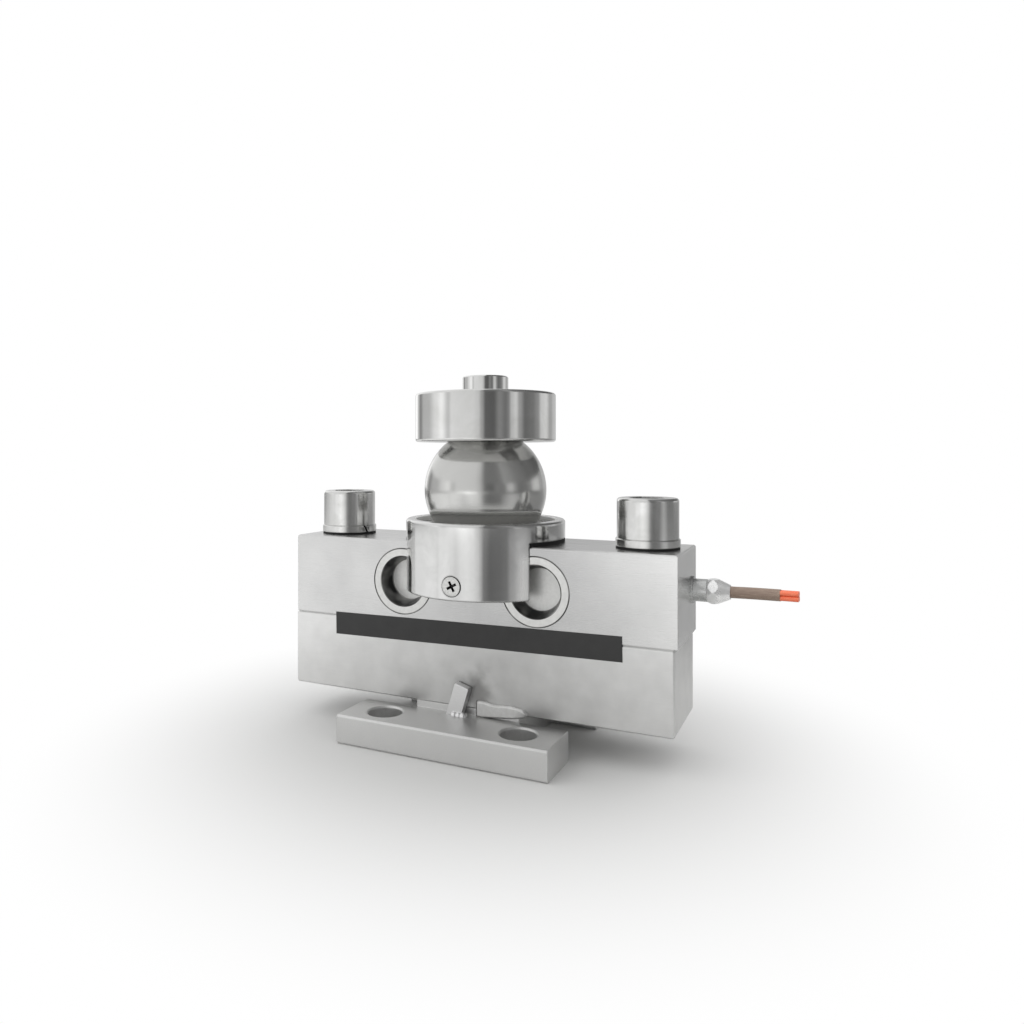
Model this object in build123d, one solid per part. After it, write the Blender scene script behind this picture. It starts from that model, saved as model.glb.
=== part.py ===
from build123d import *
import math
import os

# Double ended shear beam load cell on a bolted base block and a welded foot, with a ball
# and an upper cup on top. Millimetres. The origin is at the middle of the foot's underside,
# +Z points up, +X runs along the beam to the cable end, and -Y is the labelled front.

# Foot: two cross bars joined by a web that rises above them as a pad
bar_length = 114.0
bar_depth = 31.0
bar_height = 15.0
bar_shift = -2.5
bar_edge = 0.9
pad_length = 58.0
pad_inset = 0.5
pad_rise = 3.5
notch_radius = 3.0
foot_hole_radius = 9.0
foot_hole_spacing = 74.0
foot_hole_edge = 15.5
hole_chamfer = 0.8

# Stop lug: a leaning square bar welded to the front cross bar
lug_width = 8.0
lug_depth = 4.6
lug_height = 15.6
lug_lean = 17.0
lug_x = -5.1
lug_gap = 0.3
lug_edge = 0.4
bead_radius = 2.3
bead_places = [0.6, 3.2, 5.6]
bead_back = 0.4

# Weld runs that join the pad to the base: upper and lower outline from the run's start, over the bars
weld_start = 6.0
weld_crest = [(0.0, 8.1), (5.5, 8.2), (10.6, 7.5), (17.0, 8.0), (23.0, 7.5), (27.0, 6.2), (28.1, 4.8)]
weld_foot = [(26.5, 3.0), (20.0, 1.5), (4.0, 0.0), (0.0, 0.0)]
weld_depth = 1.8

# Base block under the beam
base_height = 40.5
base_overhang = 0.7
base_setback = 1.4
block_edge = 0.7
base_corner = 1.4
relief_length = 130.0
relief_depth = 1.5
thread_depth = 36.0
thread_gap = 0.1

# Load cell beam
beam_length = 213.0
beam_depth = 50.0
beam_height = 44.0
bolt_end_distance = 19.0
bolt_hole_gap = 0.5

# Gauge pockets, front and rear, left and right of the ball
pocket_x = 37.5
pocket_radius = 15.6
web_thickness = 10.0
link_hole_radius = 1.25
link_hole_x = 12.0

# Sealing cups welded into the pocket mouths
flange_radius = 17.5
flange_thickness = 0.8
flange_gap = 0.2
mouth_radius = 13.2
floor_radius = 10.7
cup_depth = 9.0
cup_wall = 0.6

# Strain gauges and terminal board on the webs
gauge_size = 9.0
gauge_thickness = 0.3
grid_length = 6.0
grid_width = 0.5
grid_lines = 5
tab_size = 1.4
tab_inset = 0.2
board_length = 10.0
board_width = 4.0
board_thickness = 1.0
board_rise = 11.6
post_radius = 0.5
post_height = 1.2
post_count = 4

# Clamping bolts, lock washers and seal rings
bolt_radius = 10.0
bolt_length = 80.0
head_radius = 15.0
head_height = 20.0
head_round = 1.6
socket_flats = 17.0
socket_depth = 10.0
point_chamfer = 1.5
washer_radius = 15.7
washer_bore_gap = 0.25
washer_thickness = 4.0
washer_edge = 0.35
washer_split = 1.4
washer_split_lean = 25.0
washer_split_turn = {"left": -20.0, "right": 130.0}
seal_radius = 15.5
seal_thickness = 0.9

# Saddle that straddles the beam and holds the ball sideways
saddle_radius = 43.0
collar_height = 9.6
saddle_round = 1.6
saddle_bore = 30.8
recess_radius = 37.8
recess_depth = 6.0
recess_chamfer = 0.5
skirt_drop = 26.7
skirt_gap = 0.3
skirt_edge = 0.5
gasket_thickness = 2.0
gasket_inset = 0.1

# Rubber dust ring that lies in the saddle's recess round the ball
dust_ring_height = 3.0
dust_ring_gap = 0.2

# Cross recess screws through the skirts
screw_radius = 3.0
screw_drop = 19.5
screw_head_radius = 5.2
screw_head_height = 3.0
screw_sink = 0.4
screw_length = 27.0
screw_gap = 0.15
cross_length = 5.6
cross_width = 1.3
cross_depth = 2.0
cross_turn = 28.0

# Ball and upper cup
ball_radius = 33.0
ball_rise = 27.1
seat_gap = 0.05
cup_lift = 25.9
cup_radius = 38.0
cup_height = 26.0
cup_round = 1.4
boss_radius = 12.5
boss_height = 9.4
boss_chamfer = 0.6

# Cable gland in the right end
gland_y = 14.0
gland_rise = 0.7
gland_radius = 6.0
gland_thread = 11.0
gland_bore = 3.1
gland_neck = 6.5
neck_radius = 5.6
ring_radius = 6.8
ring_thickness = 1.0
nut_flats = 11.7
nut_lead = 2.6
nut_band = 0.8
nut_taper = 7.3
nut_mouth = 3.5
nut_gap = 0.2
nut_wall = 1.0
seal_bush_length = 3.0
seal_bush_gap = 0.1
channel_radius = 2.0
cross_channel_radius = 1.5
cross_channel_y = 8.0

# Cable, from the end inside the gland to the bare end
cable_radius = 2.85
cable_start = 5.5
cable_run = 11.8
cable_drift = [(0.0, 0.0), (0.0, 0.0), (-0.6, 0.4), (-1.9, 0.6)]
cable_bend_share = 0.45
core_radius = 1.2
core_length = 8.0
core_cut = -20.0
wire_radius = 0.55
wire_spacing = 0.7
wire_tail = 4.0

# Label strip, stuck on a little askew
strip_length = 161.0
strip_height = 12.2
strip_thickness = 0.3
strip_x = 0.5
strip_drop = 46.9
strip_turn = 0.9

# Heights and places that follow from the sizes above
pad_top = bar_height + pad_rise
seam_z = pad_top + base_height
beam_top = seam_z + beam_height
mid_z = seam_z + beam_height / 2
gland_z = mid_z + gland_rise
front_y = -beam_depth / 2
end_x = beam_length / 2
bolt_x = end_x - bolt_end_distance
bar_gap = beam_depth - 2 * pad_inset
foot_depth = bar_gap + 2 * bar_depth
foot_hole_y = foot_depth / 2 - foot_hole_edge
collar_bottom = beam_top + gasket_thickness
collar_top = collar_bottom + collar_height
skirt_bottom = beam_top - skirt_drop
screw_z = beam_top - screw_drop
ball_z = beam_top + ball_rise
cup_bottom = ball_z + cup_lift
head_bottom = beam_top + seal_thickness + washer_thickness
web_y = web_thickness / 2
neck_start = end_x + ring_thickness
nut_start = neck_start + gland_neck
nut_end = nut_start + nut_lead + nut_band + nut_taper
sides = {"left": -1, "right": 1}
faces = {"front": -1, "rear": 1}
on_base = (Align.CENTER, Align.CENTER, Align.MIN)


def block(x_size, y_size, z_low, z_high, x=0.0, y=0.0):
    return Pos(x, y, z_low) * Box(x_size, y_size, z_high - z_low, align=on_base)


def upright(radius, z_low, z_high, x=0.0, y=0.0):
    return Pos(x, y, z_low) * Cylinder(radius, z_high - z_low, align=on_base)


def along_x(radius, x_low, x_high, y=0.0, z=0.0):
    rod = Cylinder(radius, x_high - x_low, align=on_base)
    return Pos(x_low, y, z) * Rot(0, 90, 0) * rod


def along_y(radius, y_low, y_high, x=0.0, z=0.0):
    rod = Cylinder(radius, y_high - y_low, align=on_base)
    return Pos(x, y_low, z) * Rot(-90, 0, 0) * rod


def facing(face, x=0.0, z=0.0):
    # Local +Z points out of the beam's front or rear face, with local +Y up
    y_direction = faces[face]
    return Plane(origin=(x, 0, z), x_dir=(-y_direction, 0, 0), z_dir=(0, y_direction, 0))


def make_foot():
    plate = Pos(bar_shift, 0) * Rectangle(bar_length, foot_depth)
    notch = RectangleRounded(bar_length, bar_gap, notch_radius)
    for side in sides.values():
        plate -= Pos(side * (pad_length + bar_length) / 2, 0) * notch
    foot = extrude(plate, bar_height)
    foot = chamfer(foot.edges().filter_by(GeomType.LINE).filter_by(Axis.X), bar_edge)
    foot += block(pad_length, bar_gap, bar_height / 2, pad_top)
    for x in (-foot_hole_spacing / 2, foot_hole_spacing / 2):
        for y in (-foot_hole_y, foot_hole_y):
            foot -= upright(foot_hole_radius, -1, bar_height + 1, bar_shift + x, y)
            foot -= Pos(bar_shift + x, y, bar_height - hole_chamfer) * Cone(
                foot_hole_radius, foot_hole_radius + 2 * hole_chamfer, 2 * hole_chamfer, align=on_base
            )
    return foot


def make_stop_lug():
    lug_y = front_y - lug_gap - lug_depth / 2
    lean = math.radians(lug_lean)
    length = lug_height / math.cos(lean)
    bar = Box(lug_width, lug_depth, 2 * length)
    bar = chamfer(bar.edges().group_by(Axis.Z)[-1], lug_edge)
    lug = Pos(lug_x, lug_y, bar_height) * Rot(0, lug_lean, 0) * bar
    lug -= block(6 * lug_width, 6 * lug_depth, bar_height - 3 * length, bar_height, lug_x, lug_y)
    bead_y = lug_y - lug_depth / 2 + bead_back
    drops = [Pos(lug_x + x, bead_y, bar_height) * Sphere(bead_radius) for x in bead_places]
    bead = Part() + drops
    bead -= block(6 * lug_width, 4 * lug_depth, bar_height - 2 * bead_radius, bar_height, lug_x, lug_y)
    return lug + bead


def make_pad_weld(face):
    crest = [(weld_start + x, bar_height + z) for x, z in weld_crest]
    foot = [(weld_start + x, bar_height + z) for x, z in weld_foot]
    border = Polyline(crest[-1], *foot, crest[0]).edges() + Spline(*crest).edges()
    run = Pos(0, front_y, 0) * extrude(Plane.XZ * make_face(border), weld_depth)
    front = run.faces().sort_by(Axis.Y)[0]
    upper = front.edges().filter_by(lambda edge: edge.center().Z > bar_height + weld_depth / 8)
    run = chamfer(upper, weld_depth / 2)
    return run if face == "front" else Rot(0, 0, 180) * run


def make_base_block():
    length = beam_length + base_overhang - base_setback
    base = block(length, beam_depth, pad_top, seam_z, -(base_overhang + base_setback) / 2)
    low_ends = base.edges().filter_by(Axis.Y).group_by(Axis.Z)[0]
    base = fillet(low_ends, base_corner)
    long_edges = base.edges().filter_by(GeomType.LINE).filter_by(Axis.X)
    base = chamfer(long_edges + base.edges().filter_by(Axis.Y).group_by(Axis.Z)[-1], block_edge)
    base -= block(relief_length, beam_depth + 2, seam_z - relief_depth, seam_z + 1)
    for side in sides.values():
        base -= upright(bolt_radius + thread_gap, seam_z - thread_depth, seam_z + 1, side * bolt_x)
    return base


def make_beam():
    beam = block(beam_length, beam_depth, seam_z, beam_top)
    beam = chamfer(beam.edges().filter_by(Axis.X) + beam.edges().filter_by(Axis.Y), block_edge)
    for side in sides.values():
        beam -= upright(bolt_radius + bolt_hole_gap, seam_z - 1, beam_top + 1, side * bolt_x)
        beam -= along_y(link_hole_radius, -web_y - 1, web_y + 1, side * (pocket_x - link_hole_x), mid_z)
        for face in faces:
            recess = Cylinder(flange_radius + flange_gap, 2 * flange_thickness)
            pocket = Pos(0, 0, -beam_depth / 2 + web_y) * Cylinder(
                pocket_radius, beam_depth / 2 - web_y, align=on_base
            )
            mouth = facing(face, side * pocket_x, mid_z) * Pos(0, 0, beam_depth / 2)
            beam -= mouth * recess + mouth * pocket
    beam -= Pos(0, 0, ball_z) * Sphere(ball_radius + seat_gap)
    screw_end = saddle_radius - screw_sink - screw_length - screw_gap
    for face in faces:
        hole = Pos(0, 0, screw_end) * Cylinder(screw_radius + screw_gap, beam_depth, align=on_base)
        beam -= facing(face, 0, screw_z) * hole
    beam -= along_x(gland_radius + thread_gap, end_x - gland_thread - 1, end_x + 1, gland_y, gland_z)
    beam -= along_x(channel_radius, pocket_x, end_x, gland_y, gland_z)
    beam -= along_x(cross_channel_radius, -pocket_x, pocket_x, cross_channel_y, mid_z)
    return beam


def make_bolt(side):
    x = side * bolt_x
    head = upright(head_radius, head_bottom, head_bottom + head_height)
    head = fillet(head.edges().filter_by(GeomType.CIRCLE).group_by(Axis.Z)[-1], head_round)
    socket = extrude(RegularPolygon(socket_flats / 2, 6, major_radius=False), socket_depth)
    head -= Pos(0, 0, head_bottom + head_height - socket_depth) * socket
    shank = upright(bolt_radius, head_bottom - bolt_length, head_bottom)
    shank = chamfer(shank.edges().group_by(Axis.Z)[0], point_chamfer)
    return Pos(x, 0, 0) * (head + shank)


def make_lock_washer(side_name):
    low = beam_top + seal_thickness
    washer = upright(washer_radius, low, low + washer_thickness)
    washer -= upright(bolt_radius + washer_bore_gap, low - 1, low + washer_thickness + 1)
    rims = washer.edges().filter_by(GeomType.CIRCLE).filter_by(lambda edge: edge.radius > washer_radius - 1)
    washer = chamfer(rims, washer_edge)
    split = Rot(washer_split_lean, 0, 0) * Box(washer_radius, washer_split, 4 * washer_thickness)
    split = Pos(bolt_radius + washer_radius / 2 - 1, 0, low + washer_thickness / 2) * split
    turned = Rot(0, 0, washer_split_turn[side_name]) * split
    return Pos(sides[side_name] * bolt_x, 0, 0) * (washer - turned)


def make_seal_ring(side):
    x = side * bolt_x
    ring = upright(seal_radius, beam_top, beam_top + seal_thickness, x)
    return ring - upright(bolt_radius + washer_bore_gap, beam_top - 1, beam_top + seal_thickness + 1, x)


def make_saddle():
    body = upright(saddle_radius, skirt_bottom, collar_top)
    body = fillet(body.edges().filter_by(GeomType.CIRCLE).group_by(Axis.Z)[-1], saddle_round)
    body = chamfer(body.edges().filter_by(GeomType.CIRCLE).group_by(Axis.Z)[0], skirt_edge)
    slot = block(3 * saddle_radius, beam_depth + 2 * skirt_gap, skirt_bottom - 1, collar_bottom)
    bore = upright(saddle_bore, collar_bottom - 1, collar_top + 1)
    recess = upright(recess_radius, collar_top - recess_depth, collar_top + 1)
    lead_in = Pos(0, 0, collar_top - recess_chamfer) * Cone(
        recess_radius, recess_radius + 2 * recess_chamfer, 2 * recess_chamfer, align=on_base
    )
    body -= slot + bore + recess + lead_in
    for face in faces:
        seat = facing(face, 0, screw_z) * Pos(0, 0, saddle_radius - screw_sink - screw_head_height)
        cone = Cone(
            screw_radius + screw_gap,
            screw_head_radius + screw_gap,
            screw_head_height,
            align=on_base,
        )
        mouth = Pos(0, 0, screw_head_height) * Cylinder(
            screw_head_radius + screw_gap, saddle_radius, align=on_base
        )
        hole = Cylinder(screw_radius + screw_gap, 2 * saddle_radius - beam_depth)
        body -= seat * cone + seat * mouth + seat * hole
    return body


def make_saddle_gasket():
    ring = upright(saddle_radius - gasket_inset, beam_top, collar_bottom)
    ring -= upright(saddle_bore, beam_top - 1, collar_bottom + 1)
    return ring & block(3 * saddle_radius, beam_depth - 2 * block_edge, beam_top, collar_bottom)


def make_dust_ring():
    low = collar_top - recess_depth
    ring = upright(recess_radius - dust_ring_gap, low, low + dust_ring_height)
    return ring - Pos(0, 0, ball_z) * Sphere(ball_radius + dust_ring_gap)


def make_saddle_screw(face):
    shank_length = screw_length - screw_head_height
    top = saddle_radius - screw_sink
    head = Pos(0, 0, top - screw_head_height) * Cone(
        screw_radius, screw_head_radius, screw_head_height, align=on_base
    )
    shank = Pos(0, 0, top - screw_length) * Cylinder(
        screw_radius, shank_length, align=on_base
    )
    screw = head + shank
    for turn in (cross_turn, cross_turn + 90):
        arm = Pos(0, 0, top - cross_depth) * Rot(0, 0, turn) * Box(
            cross_length, cross_width, 2 * cross_depth, align=on_base
        )
        screw -= arm
    return facing(face, 0, screw_z) * screw


def make_ball():
    return Pos(0, 0, ball_z) * Sphere(ball_radius)


def make_upper_cup():
    disc = upright(cup_radius, cup_bottom, cup_bottom + cup_height)
    disc = fillet(disc.edges().filter_by(GeomType.CIRCLE), cup_round)
    boss_top = cup_bottom + cup_height + boss_height
    boss = upright(boss_radius, cup_bottom + cup_height / 2, boss_top)
    boss = chamfer(boss.edges().group_by(Axis.Z)[-1], boss_chamfer)
    return disc + boss - Pos(0, 0, ball_z) * Sphere(ball_radius + seat_gap)


def make_sealing_cup(face, side):
    # The half section of the pressed cup, turned about its own axis; height 0 is the beam's face
    section = Polyline(
        (0, -cup_depth),
        (floor_radius, -cup_depth),
        (mouth_radius, -cup_wall),
        (mouth_radius, 0),
        (flange_radius, 0),
        (flange_radius, -flange_thickness),
        (mouth_radius + cup_wall, -flange_thickness),
        (floor_radius + cup_wall, -cup_depth - cup_wall),
        (0, -cup_depth - cup_wall),
        close=True,
    )
    cup = revolve(Plane.XZ * make_face(section), Axis.Z)
    return facing(face, side * pocket_x, mid_z) * Pos(0, 0, beam_depth / 2) * cup


def make_gauge(face, side):
    foil = Box(gauge_size, gauge_size, gauge_thickness, align=on_base)
    pitch = 2 * grid_width
    for line in range(grid_lines):
        x = (line - (grid_lines - 1) / 2) * pitch
        strip = Box(grid_width, grid_length, gauge_thickness / 2, align=on_base)
        foil += Pos(x, gauge_size / 8, gauge_thickness) * strip
    for x in (-tab_size, tab_size):
        tab = Box(tab_size, tab_size, gauge_thickness / 2, align=on_base)
        foil += Pos(x, tab_size / 2 - gauge_size / 2 + tab_inset, gauge_thickness) * tab
    return facing(face, side * pocket_x, mid_z) * Pos(0, 0, web_y) * Rot(0, 0, 45) * foil


def make_terminal_board():
    board = Box(board_length, board_width, board_thickness, align=on_base)
    for post in range(post_count):
        x = (post - (post_count - 1) / 2) * board_length / (post_count + 0.5)
        pin = Cylinder(post_radius, post_height, align=on_base)
        board += Pos(x, 0, board_thickness) * pin
    return facing("rear", pocket_x, mid_z + board_rise) * Pos(0, 0, web_y) * board


def make_gland_ring():
    ring = along_x(ring_radius, end_x, neck_start, gland_y, gland_z)
    return ring - along_x(gland_radius + thread_gap, end_x - 1, neck_start + 1, gland_y, gland_z)


def make_gland_body():
    inner_end = nut_start + nut_lead
    body = along_x(gland_radius, end_x - gland_thread, neck_start, gland_y, gland_z)
    body += along_x(neck_radius, neck_start - 1, nut_start, gland_y, gland_z)
    body += along_x(gland_radius - nut_wall, nut_start - 1, inner_end, gland_y, gland_z)
    return body - along_x(gland_bore, end_x - gland_thread - 1, inner_end + 1, gland_y, gland_z)


def make_gland_seal():
    start = nut_start + nut_lead
    stop = start + seal_bush_length
    bush = along_x(gland_radius - nut_wall, start, stop, gland_y, gland_z)
    return bush - along_x(cable_radius + seal_bush_gap, start - 1, stop + 1, gland_y, gland_z)


def make_gland_nut():
    # Hexagonal band cut from a turned blank that swells a little and then tapers to its mouth
    corner = nut_flats / 2 / math.cos(math.radians(30))
    blank = Polyline(
        (nut_start, 0),
        (nut_start, neck_radius),
        (nut_start + nut_lead, corner),
        (nut_start + nut_lead + nut_band, corner),
        (nut_end, nut_mouth),
        (nut_end, 0),
        close=True,
    )
    nut = Pos(0, gland_y, gland_z) * revolve(Plane.XZ * make_face(blank), Axis.X)
    hexagon = Rot(0, 0, 30) * RegularPolygon(nut_flats / 2, 6, major_radius=False)
    nut &= Pos(nut_start - 1, gland_y, gland_z) * Rot(0, 90, 0) * extrude(hexagon, nut_end - nut_start + 2)
    hollow_end = nut_start + nut_lead + seal_bush_length + nut_gap
    nut -= along_x(gland_radius - nut_wall + nut_gap, nut_start - 1, hollow_end, gland_y, gland_z)
    return nut - along_x(cable_radius + nut_gap, nut_start, nut_end + 1, gland_y, gland_z)


def cable_points():
    start = end_x + cable_start
    return [
        (start + cable_run * step, gland_y + drift_y, gland_z + drift_z)
        for step, (drift_y, drift_z) in enumerate(cable_drift)
    ]


def cable_route():
    # Straight runs with a large arc in each bend
    points = [Vector(*point) for point in cable_points()]
    radii = []
    for before, here, after in zip(points, points[1:], points[2:]):
        turn = math.radians((here - before).get_angle(after - here))
        shorter = min((here - before).length, (after - here).length)
        radii.append(cable_bend_share * shorter / math.tan(turn / 2))
    print("cable bend radii", [round(radius, 1) for radius in radii])
    return FilletPolyline(*points, radius=radii)


def make_cable_jacket():
    route = cable_route()
    tube = sweep(Plane(origin=route @ 0, z_dir=route % 0) * Circle(cable_radius), path=route)
    expected = math.pi * cable_radius**2 * route.length
    print("cable jacket volume", round(tube.volume, 1), "expected", round(expected, 1))
    return tube


def make_cable_cores():
    # Four touching cores, cut off at a slant
    points = [Vector(*point) for point in cable_points()]
    end = Plane(origin=points[-1], x_dir=(0, 1, 0), z_dir=(points[-1] - points[-2]).normalized())
    core = Cylinder(core_radius, core_length, align=on_base)
    bundle = Part() + [Pos(core_radius * x, core_radius * y, 0) * core for x in (-1, 1) for y in (-1, 1)]
    cutter = Box(4 * cable_radius, 4 * cable_radius, core_length, align=on_base)
    return end * (bundle - Pos(0, 0, core_length + core_radius) * Rot(core_cut, 0, 0) * cutter)


def make_inner_cores():
    start = pocket_x + pocket_radius - wire_tail
    stop = end_x + cable_start
    wires = [
        along_x(wire_radius, start, stop, gland_y + wire_spacing * y, gland_z + wire_spacing * z)
        for y in (-1, 1)
        for z in (-1, 1)
    ]
    return Part() + wires


def make_bridge_wires():
    reach = pocket_x - pocket_radius + wire_tail
    wires = [along_x(wire_radius, -reach, reach, cross_channel_y, mid_z + wire_spacing * z) for z in (-1, 1)]
    return Part() + wires


def make_label_strip():
    strip = Box(strip_length, strip_height, strip_thickness, align=on_base)
    place = facing("front", strip_x, beam_top - strip_drop) * Pos(0, 0, beam_depth / 2)
    return place * Rot(0, 0, strip_turn) * strip


def all_pieces():
    pieces = {
        "foot": make_foot(),
        "stop_lug": make_stop_lug(),
        "base_block": make_base_block(),
        "beam": make_beam(),
        "saddle": make_saddle(),
        "saddle_gasket": make_saddle_gasket(),
        "dust_ring": make_dust_ring(),
        "ball": make_ball(),
        "upper_cup": make_upper_cup(),
        "terminal_board": make_terminal_board(),
        "gland_ring": make_gland_ring(),
        "gland_body": make_gland_body(),
        "gland_seal": make_gland_seal(),
        "gland_nut": make_gland_nut(),
        "cable_jacket": make_cable_jacket(),
        "cable_cores": make_cable_cores(),
        "inner_cores": make_inner_cores(),
        "bridge_wires": make_bridge_wires(),
        "label_strip": make_label_strip(),
    }
    for side_name, side in sides.items():
        pieces[f"bolt_{side_name}"] = make_bolt(side)
        pieces[f"lock_washer_{side_name}"] = make_lock_washer(side_name)
        pieces[f"seal_ring_{side_name}"] = make_seal_ring(side)
    for face in faces:
        pieces[f"pad_weld_{face}"] = make_pad_weld(face)
        pieces[f"saddle_screw_{face}"] = make_saddle_screw(face)
        for side_name, side in sides.items():
            pieces[f"sealing_cup_{face}_{side_name}"] = make_sealing_cup(face, side)
            pieces[f"gauge_{face}_{side_name}"] = make_gauge(face, side)
    return pieces


os.makedirs("parts", exist_ok=True)
for node, piece in all_pieces().items():
    export_step(piece, f"parts/{node}.step")
    print(node, "volume", round(piece.volume, 2))
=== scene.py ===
import bpy
import math
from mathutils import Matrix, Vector


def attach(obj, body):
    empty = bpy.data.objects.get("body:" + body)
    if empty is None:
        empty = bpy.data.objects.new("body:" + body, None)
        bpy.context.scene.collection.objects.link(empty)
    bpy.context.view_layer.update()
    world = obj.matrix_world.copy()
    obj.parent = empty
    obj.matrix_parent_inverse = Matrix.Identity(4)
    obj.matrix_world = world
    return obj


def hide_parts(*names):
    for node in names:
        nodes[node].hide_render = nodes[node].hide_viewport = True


# Double ended beam load cell. Metres, +Z up, origin at the middle of the foot's underside,
# +X runs along the beam to the cable end, -Y is the labelled front.

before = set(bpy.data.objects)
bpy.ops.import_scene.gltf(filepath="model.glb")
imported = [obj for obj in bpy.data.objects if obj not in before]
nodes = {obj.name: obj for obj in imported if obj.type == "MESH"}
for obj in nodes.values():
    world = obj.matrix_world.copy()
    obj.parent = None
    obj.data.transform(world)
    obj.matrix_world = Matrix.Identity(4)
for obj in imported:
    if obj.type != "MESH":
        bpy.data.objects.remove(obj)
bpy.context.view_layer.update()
scene = bpy.context.scene
mm = 0.001
faces = ("front", "rear")
sides = ("left", "right")
white = (1, 1, 1, 1)
colourMix = {"take": 2, "data_type": "RGBA"}  # a Mix of two colours gives its result at output 2
noiseLow, noiseHigh = 0.3, 0.7  # the span that a noise texture really covers
print("frame loaded:", len(nodes), "nodes")


def hexColour(value):
    # sRGB hex to linear RGBA
    channels = [int(value[i:i + 2], 16) / 255 for i in (1, 3, 5)]
    linear = [c / 12.92 if c <= 0.04045 else ((c + 0.055) / 1.055) ** 2.4 for c in channels]
    return (*linear, 1.0)


def addNode(tree, kind, inputs=None, take=0, **settings):
    # One node with its settings and links; gives back the output that take names.
    # Map Range takes 0 value, 1 and 2 from, 3 and 4 to. A colour Mix takes 0 factor, 6 and 7 colours.
    node = tree.nodes.new(kind)
    for name, value in settings.items():
        setattr(node, name, value)
    for name, value in (inputs or {}).items():
        if isinstance(value, bpy.types.NodeSocket):
            tree.links.new(value, node.inputs[name])
        else:
            node.inputs[name].default_value = value
    return node.outputs[take] if node.outputs else None


def dress(material, *names):
    for name in names:
        nodes[name].data.materials.clear()
        nodes[name].data.materials.append(material)


# the photograph's viewing angle: 26.83 degrees round to the cable end, looking level, in millimetres
camera = {"place": (173.5, -402.1, 149.96), "turn": 26.83, "lens": 28.22, "sensor": 36,
          "shift": (0.0739, -0.0576), "nearest": 10.0}


def makeCamera():
    data = bpy.data.cameras.new("camera")
    data.lens = camera["lens"]
    data.sensor_width = camera["sensor"]
    data.shift_x, data.shift_y = camera["shift"]
    data.clip_start = camera["nearest"] * mm
    item = bpy.data.objects.new("camera", data)
    item.location = Vector(camera["place"]) * mm
    item.rotation_euler = (math.radians(90), 0, math.radians(camera["turn"]))
    scene.collection.objects.link(item)
    scene.camera = item


# The pale room as the metal sees it: the tone of its walls by compass direction, in degrees from
# -Y towards +X, at four heights, and the elevations between which each height goes over into the
# next. Dark screens stand right of the camera and behind it to the right, and they draw the
# streaks on everything turned. Plain surfaces get the even fill instead.
studio = {
    "lowerWalls": [
        (-180, 0.66), (-150, 0.80), (-125, 0.80), (-107, 0.90), (-85, 1.02), (-60, 1.08), (-52, 1.06),
        (-48, 0.98), (-44, 1.10), (-34, 1.08), (-26, 0.98), (-18, 0.86), (-10, 0.98), (-2, 1.04), (7, 0.96),
        (13, 0.82), (17, 0.58), (21, 0.24), (30, 0.16), (42, 0.18), (52, 0.22), (60, 0.42), (72, 0.60),
        (80, 0.60), (92, 0.38), (108, 0.38), (122, 0.32), (136, 0.30), (148, 0.30), (158, 0.34),
        (172, 0.44), (180, 0.66)],
    "boltWalls": [
        (-180, 0.58), (-134, 0.36), (-107, 0.44), (-77, 0.60), (-56, 0.72), (-39, 0.94), (-23, 1.34),
        (-8, 1.80), (4, 1.36), (13, 0.78), (24, 0.46), (33, 0.30), (46, 0.25), (62, 0.22), (74, 0.22),
        (89, 0.17), (105, 0.15), (122, 0.17), (143, 0.24), (158, 0.38), (173, 0.55)],
    "walls": [
        (-180, 0.58), (-160, 0.56), (-146, 0.68), (-138, 0.96), (-128, 1.40), (-120, 0.74), (-108, 0.30),
        (-95, 0.60), (-82, 0.62), (-62, 0.98), (-52, 1.18), (-38, 0.70), (-32, 0.90), (-20, 0.87), (2, 0.84),
        (12, 0.74), (18, 0.44), (24, 0.14), (36, 0.13), (46, 0.28), (56, 0.20), (60, 0.26), (66, 0.64),
        (73, 0.76), (80, 0.40), (90, 0.18), (104, 0.22), (116, 0.33), (126, 0.74), (138, 0.82), (152, 0.46),
        (173, 0.62)],
    "upperWalls": [
        (-180, 0.44), (-150, 0.90), (-125, 1.12), (-100, 0.96), (-60, 0.93), (0, 0.85), (12, 0.74),
        (17, 0.42), (22, 0.19), (44, 0.20), (52, 0.24), (60, 0.38), (70, 0.34), (88, 0.24), (104, 0.20),
        (116, 0.15), (130, 0.16), (144, 0.12), (158, 0.10), (170, 0.14), (180, 0.44)],
    "rises": [(-5.8, -4.8), (-2.6, -1.0), (9.0, 15.0)],
    "strength": 1.25,
    "fill": 0.94,
}


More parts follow.
